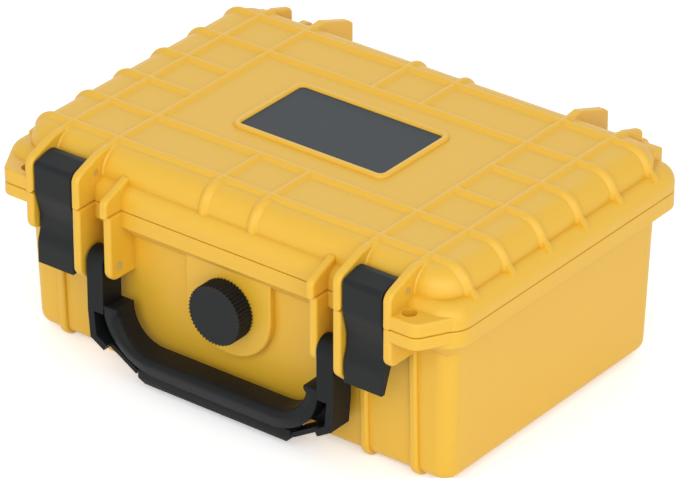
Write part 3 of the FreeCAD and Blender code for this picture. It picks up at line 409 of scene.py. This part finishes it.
def handle_frame(front, back):
    """The arm with its round eye, drawn down into the outer rim and along the slant to the bar."""
    outside = handle_high.x
    piece = begin("handle_frame", Vector((outside - ARM_WIDTH, front, ARM_FOOT)),
                  Vector((outside, back, handle_high.z)))
    bpy.ops.mesh.select_all(action="SELECT")
    bpy.ops.mesh.bisect(plane_co=(outside - RIM_WIDTH, 0, 0), plane_no=(1, 0, 0))
    pick(piece, "EDGE", lambda edge: all(same(vert.co.z, handle_high.z) for vert in edge.verts)
         and same(edge.verts[0].co.y, edge.verts[1].co.y))
    bpy.ops.mesh.bevel(offset=ARM_DEPTH * EYE_SHARE, segments=EYE_STEPS)
    pick(piece, "FACE", lambda face: face.normal.z < -0.9
         and face.calc_center_median().x > outside - RIM_WIDTH)
    push(-RIM_TAPER, RIM_BEND - ARM_FOOT)
    corner = Vector((outside - RIM_TAPER, 0, RIM_BEND))
    run = (Vector((BAR_LENGTH - BAR_END_FALL, 0, BAR_FOOT)) - corner).normalized()
    bend = math.acos(-run.z)
    spread = 1 / math.cos(bend / 2)
    swing(bend / 2, corner)
    bpy.ops.transform.resize(value=(spread, 1, spread), center_override=corner)
    push(*(run * RIM_STEP_IN).xz)
    corner = corner + run * RIM_STEP_IN
    swing(bend / 2, corner)
    bpy.ops.transform.resize(value=(1 / spread, 1, 1 / spread), center_override=corner)
    push(0, 0)
    stretch_depth(RIM_RUN_DEPTH, back)
    inner = corner + Vector((run.z, 0, -run.x)) * RIM_WIDTH
    bpy.ops.transform.resize(value=(RIM_RUN_THIN, 1, RIM_RUN_THIN), center_override=inner)
    push(*(run * (RIM_STEP_OUT - RIM_STEP_IN)).xz)
    finish_block(piece)
    return piece


def band_width(share):
    """The band's width: even down the side, then swelling into the grip."""
    return BAND_START + (BAND_END - BAND_START) * share ** 3


def handle_band(front, back):
    """The inner band: from the ledge beside the lug, round the bend and along the grip."""
    inside = handle_high.x - ARM_WIDTH - BAND_LEDGE
    pivot = Vector((inside - BEND_RADIUS, 0, GRIP_TOP + BEND_RADIUS))
    piece = begin("handle_band", Vector((inside, front, pivot.z)),
                  Vector((inside + BAND_START, back, BAND_TOP)))
    pick(piece, "FACE", lambda face: face.normal.z < -0.9)
    depth = back - front
    turn = math.radians(90) / BEND_STEPS
    for step in range(BEND_STEPS):
        start, end = step / BEND_STEPS, (step + 1) / BEND_STEPS
        angle = turn * (step + 1)
        push(0, 0)
        swing(turn, pivot)
        edge = pivot + BEND_RADIUS * Vector((math.cos(angle), 0, -math.sin(angle)))
        growth = band_width(end) / band_width(start)
        bpy.ops.transform.resize(value=(growth, 1, growth), center_override=edge)
        stretch_depth((depth + BAND_PROUD * end) / (depth + BAND_PROUD * start), back)
    push(-pivot.x - OVERRUN, 0)

    def lower_front(low, high):
        """A test for the front corners of the outer side between two shares of the bend."""
        def test(vert):
            out = vert.co - pivot
            share = 1.0 if out.x < 0.01 * MM else math.atan2(-out.z, out.x) / math.radians(90)
            reach = -out.z if out.x < 0.01 * MM else math.hypot(out.x, out.z)
            return vert.co.y < front + MM and reach > BEND_RADIUS + MM and low < share <= high
        return test

    for step in range(BEND_STEPS):
        share = (step + 1) / BEND_STEPS
        pick(piece, "VERT", lower_front(share - 0.5 / BEND_STEPS, share + 0.5 / BEND_STEPS))
        bpy.ops.transform.translate(value=(0, BAND_UNDERCUT * share, 0))

    def inner_front_edge(edge):
        """A test for the long front edges on the inner side."""
        fronts = [face.normal.y < -0.5 for face in edge.link_faces]
        if fronts.count(True) != 1:
            return False
        other = edge.link_faces[fronts.index(False)]
        middle = other.calc_center_median()
        towards = (Vector((min(middle.x, pivot.x), middle.y, pivot.z)) - middle).dot(other.normal)
        return abs(other.normal.y) < 0.7 and other.normal.x > -0.99 and towards > 0

    pick(piece, "EDGE", inner_front_edge)
    bpy.ops.mesh.bevel(offset=GRIP_ROUND, segments=GRIP_STEPS)
    finish_block(piece)
    return piece


def handle_bar(front, back):
    """The lower bar under the grip, its ends cut on a slant."""
    piece = begin("handle_bar", Vector((-OVERRUN, front + BAR_SETBACK, BAR_FOOT)),
                  Vector((BAR_LENGTH, back, BAR_FOOT + BAR_HEIGHT)))
    pick(piece, "EDGE", lambda edge: all(same(vert.co.z, BAR_FOOT) and same(vert.co.x, BAR_LENGTH)
                                         for vert in edge.verts))
    bpy.ops.mesh.bevel(offset=BAR_END_FALL, segments=1)
    pick(piece, "VERT", lambda vert: same(vert.co.z, BAR_FOOT) and vert.co.y < back - MM)
    bpy.ops.transform.translate(value=(0, BAR_LEAN, 0))
    finish_block(piece)
    return piece


def handle_web(back):
    """A thin web at the back that ties the rim to the band and closes most of the slot."""
    outside = handle_high.x - RIM_TAPER - RIM_WIDTH / 2
    piece = begin("handle_web", Vector((outside - 2 * ARM_WIDTH, back - WEB_DEPTH, WEB_FOOT)),
                  Vector((outside, back - SOFT_EDGE, ARM_FOOT + SOFT_EDGE)))
    pick(piece, "EDGE", lambda edge: all(vert.co.x < outside - ARM_WIDTH and vert.co.z > ARM_FOOT
                                         for vert in edge.verts))
    bpy.ops.mesh.bevel(offset=ARM_WIDTH, segments=1)
    pick(piece, "EDGE", lambda edge: all(same(vert.co.x, outside) and same(vert.co.z, WEB_FOOT)
                                         for vert in edge.verts))
    bpy.ops.mesh.bevel(offset=WEB_SLANT, segments=1)
    finish_block(piece)
    return piece


def cut_away(piece, other):
    """Takes the room of another piece out of this one."""
    bpy.ops.object.select_all(action="DESELECT")
    bpy.context.view_layer.objects.active = piece
    cut = piece.modifiers.new("cut", "BOOLEAN")
    cut.operation = "DIFFERENCE"
    cut.solver = "EXACT"
    cut.object = other
    bpy.ops.object.modifier_apply(modifier=cut.name)
    bpy.data.objects.remove(other, do_unlink=True)


def pin_bore():
    """A round bar on the handle's pin, to cut the bore."""
    pin_low, pin_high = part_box("handle_pin_right")
    bpy.ops.object.select_all(action="DESELECT")
    bpy.ops.mesh.primitive_cylinder_add(vertices=BORE_SIDES, radius=BORE_RADIUS,
                                        depth=3 * (pin_high.x - pin_low.x),
                                        location=(pin_low + pin_high) / 2, rotation=(0, math.radians(90), 0))
    bpy.ops.object.transform_apply(location=True, rotation=True, scale=True)
    return bpy.context.active_object


def build_handle():
    """The right half from its blocks, mirrored to the left."""
    back = handle_high.y
    front = back - ARM_DEPTH
    piece = handle_frame(front, back)
    cut_away(piece, pin_bore())
    others = [handle_band(front + STAGGER, back - STAGGER), handle_bar(front, back - 2 * STAGGER),
              handle_web(back)]
    bpy.ops.object.select_all(action="DESELECT")
    for block in [piece] + others:
        block.select_set(True)
    bpy.context.view_layer.objects.active = piece
    bpy.ops.object.join()
    bpy.ops.object.mode_set(mode="EDIT")
    bpy.ops.mesh.select_all(action="SELECT")
    bpy.ops.mesh.bisect(plane_co=(0, 0, 0), plane_no=(1, 0, 0), clear_inner=True)
    bpy.ops.object.mode_set(mode="OBJECT")
    repeat(piece, "MIRROR", merge_threshold=SOFT_EDGE / 10)
    weld(piece)
    bpy.ops.object.shade_smooth_by_angle(angle=HANDLE_SMOOTH)
    piece.name = "carrying_handle"
    piece.data.name = "carrying_handle"
    hand_over(piece, HANDLE_SHADED_BLACK, "handle", "handle")


# Valve knob, worked out from its solid
knob_low, knob_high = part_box("valve_knob")
KNOB_TEETH = 48
TOOTH_DEPTH = 0.06
KNOB_BACK_RIM = 0.9 * MM
KNOB_SMOOTH = math.radians(20)


def push_back(distance):
    """Draws the picked faces out towards the case in a smaller size, for a foot rim."""
    bpy.ops.mesh.inset(thickness=distance)
    bpy.ops.mesh.extrude_region_move(TRANSFORM_OT_translate={"value": (0, distance / 10, 0)})


def build_knob():
    """A round knob with sharp teeth that run out at its plain front, and a rim at its back."""
    centre = (knob_low + knob_high) / 2
    radius = (knob_high.x - knob_low.x) / 2
    bpy.ops.object.select_all(action="DESELECT")
    bpy.ops.mesh.primitive_cylinder_add(vertices=2 * KNOB_TEETH, radius=radius,
                                        depth=knob_high.y - knob_low.y, location=centre,
                                        rotation=(math.radians(90), 0, 0))
    piece = bpy.context.active_object
    bpy.ops.object.transform_apply(location=True, rotation=True, scale=True)
    piece.name = "ridged_knob"
    piece.data.name = "ridged_knob"
    bpy.ops.object.mode_set(mode="EDIT")
    tooth = math.radians(360) / KNOB_TEETH

    def valley(edge):
        """A test for every second edge along the rim."""
        first, second = (vert.co - centre for vert in edge.verts)
        turn = math.atan2(first.x, first.z) / tooth
        return same(first.x, second.x) and same(first.z, second.z) and abs(turn - round(turn)) < 0.25

    pick(piece, "EDGE", valley)
    bpy.ops.transform.resize(value=(1 - TOOTH_DEPTH, 1, 1 - TOOTH_DEPTH), center_override=centre)
    pick(piece, "FACE", lambda face: face.normal.y > 0.9)
    push_back(KNOB_BACK_RIM)
    bpy.ops.object.mode_set(mode="OBJECT")
    bpy.ops.object.shade_smooth_by_angle(angle=KNOB_SMOOTH)
    hand_over(piece, BLACK, "valve", "valve_knob")


# Moulded details of the lid, on the shoulder where its ribs run out
RIB_COUNT = 6
RIB_PITCH = 21.66 * MM
TOE_WIDTH = 2.6 * MM
TOE_ROOT = 97.4 * MM
TOE_END = 101.2 * MM
TOE_FOOT = 73.5 * MM
TOE_TOP = 80.0 * MM
TOE_SLANT = 3.5 * MM
LID_EDGE = 2 * SOFT_EDGE
LID_SMOOTH = math.radians(40)
REAR_STOP_LOW = Vector((82.0, 62.0, 73.0)) * MM
REAR_STOP_HIGH = Vector((92.6, 70.2, 80.2)) * MM


def repeat(piece, kind, **settings):
    """Applies an array or a mirror to a piece."""
    bpy.ops.object.select_all(action="DESELECT")
    bpy.context.view_layer.objects.active = piece
    piece.select_set(True)
    copies = piece.modifiers.new("copies", kind)
    for name, setting in settings.items():
        setattr(copies, name, setting)
    bpy.ops.object.modifier_apply(modifier=copies.name)


def build_rib_toes():
    """The slanted toes in which the long ribs end on both shoulders of the lid."""
    start = -RIB_PITCH * (RIB_COUNT - 1) / 2
    piece = begin("rib_toes", Vector((TOE_ROOT, start - TOE_WIDTH / 2, TOE_FOOT)),
                  Vector((TOE_END, start + TOE_WIDTH / 2, TOE_TOP)))
    pick(piece, "EDGE", lambda edge: all(same(vert.co.x, TOE_END) and same(vert.co.z, TOE_TOP)
                                         for vert in edge.verts))
    bpy.ops.mesh.bevel(offset=TOE_SLANT, segments=1)
    finish_block(piece, LID_EDGE)
    repeat(piece, "ARRAY", count=RIB_COUNT, use_relative_offset=False, use_constant_offset=True,
           constant_offset_displace=(0, RIB_PITCH, 0))
    repeat(piece, "MIRROR")
    bpy.ops.object.shade_smooth_by_angle(angle=LID_SMOOTH)
    hand_over(piece, YELLOW, "lid")


def build_rear_stops():
    """The blocks at the rear corners of the lid, beside the short fins."""
    piece = begin("rear_stops", REAR_STOP_LOW, REAR_STOP_HIGH)
    finish_block(piece, LID_EDGE)
    repeat(piece, "MIRROR")
    bpy.ops.object.shade_smooth_by_angle(angle=LID_SMOOTH)
    hand_over(piece, YELLOW, "lid")


# Studio, with the camera fitted to the photo
PHOTO_WIDTH_PX = 679
FOCAL_PX = 4934.75
SENSOR_WIDTH = 36.0
CAMERA_AZIMUTH = math.radians(37.767)
CAMERA_ELEVATION = math.radians(29.001)
CAMERA_DISTANCE = 1.7994
LOOK_AT = Vector((0, 0, 0.045))
LOOK_ASIDE = -0.00061
LOOK_UP = -0.003073
FILL = 0.68
FLOOR_LIFT = 0.38
LAMP_SIZE = 1.2
LAMPS = (("key_lamp", (0.35, -1.65, 1.1), 10), ("side_lamp", (1.6, -0.9, 0.95), 11),
         ("back_lamp", (-1.1, 1.5, 0.8), 3.5))


def place_camera():
    """A camera that sees the case as the photo does."""
    data = bpy.data.cameras.new("photo_camera")
    camera = bpy.data.objects.new("photo_camera", data)
    bpy.context.scene.collection.objects.link(camera)
    level = math.cos(CAMERA_ELEVATION)
    back = Vector((math.sin(CAMERA_AZIMUTH) * level, -math.cos(CAMERA_AZIMUTH) * level,
                   math.sin(CAMERA_ELEVATION)))
    right = Vector((math.cos(CAMERA_AZIMUTH), math.sin(CAMERA_AZIMUTH), 0))
    target = LOOK_AT + right * LOOK_ASIDE + back.cross(right) * LOOK_UP
    camera.location = target + back * CAMERA_DISTANCE
    camera.rotation_euler = back.to_track_quat("Z", "Y").to_euler()
    data.sensor_width = SENSOR_WIDTH
    data.lens = FOCAL_PX * SENSOR_WIDTH / PHOTO_WIDTH_PX
    data.clip_end = 50
    bpy.context.scene.camera = camera


def seen_directly(tree):
    """A mask for rays from the camera, from gloss and through glass."""
    path = add_node(tree, "ShaderNodeLightPath")
    either = add_node(tree, "ShaderNodeMath", operation="MAXIMUM")
    every = add_node(tree, "ShaderNodeMath", operation="MAXIMUM")
    tree.links.new(path.outputs["Is Camera Ray"], either.inputs[0])
    tree.links.new(path.outputs["Is Glossy Ray"], either.inputs[1])
    tree.links.new(either.outputs["Value"], every.inputs[0])
    tree.links.new(path.outputs["Is Transmission Ray"], every.inputs[1])
    return every.outputs["Value"]


def light_world(strength):
    """White where it is seen, and a plain soft fill where it lights."""
    world = bpy.data.worlds.new("studio")
    bpy.context.scene.world = world
    world.use_nodes = True
    tree = world.node_tree
    fill = tree.nodes["Background"]
    fill.inputs["Color"].default_value = (1, 1, 1, 1)
    level = map_range(tree, (0.0, 1.0), (strength, 1.0))
    tree.links.new(seen_directly(tree), level.inputs["Value"])
    tree.links.new(level.outputs["Result"], fill.inputs["Strength"])


def lay_floor(lift):
    """A pale floor that keeps the shadow and is lifted to white where it is seen."""
    bpy.ops.object.select_all(action="DESELECT")
    bpy.ops.mesh.primitive_plane_add(size=8, location=(0, 0, 0))
    floor = bpy.context.active_object
    floor.name = "studio_floor"
    finish, tree, shader = finish_of("studio_floor")
    shader.inputs["Base Color"].default_value = (0.92, 0.92, 0.92, 1)
    shader.inputs["Roughness"].default_value = 0.9
    shader.inputs["Specular IOR Level"].default_value = 0.0
    shader.inputs["Emission Color"].default_value = (1, 1, 1, 1)
    glow = add_node(tree, "ShaderNodeMath", operation="MULTIPLY")
    glow.inputs[1].default_value = lift
    tree.links.new(seen_directly(tree), glow.inputs[0])
    tree.links.new(glow.outputs["Value"], shader.inputs["Emission Strength"])
    floor.data.materials.append(finish)


def soft_box(name, place, size, watts):
    """A square lamp that faces the case."""
    data = bpy.data.lights.new(name, "AREA")
    data.size = size
    data.energy = watts
    lamp = bpy.data.objects.new(name, data)
    bpy.context.scene.collection.objects.link(lamp)
    lamp.location = place
    lamp.rotation_euler = (Vector(place) - LOOK_AT).to_track_quat("Z", "Y").to_euler()


dress_solids()
build_handle()
build_knob()
build_rib_toes()
build_rear_stops()
place_camera()
lay_floor(FLOOR_LIFT)
light_world(FILL)
for lamp_name, lamp_place, lamp_watts in LAMPS:
    soft_box(lamp_name, lamp_place, LAMP_SIZE, lamp_watts)

bpy.context.scene.view_settings.view_transform = "Standard"
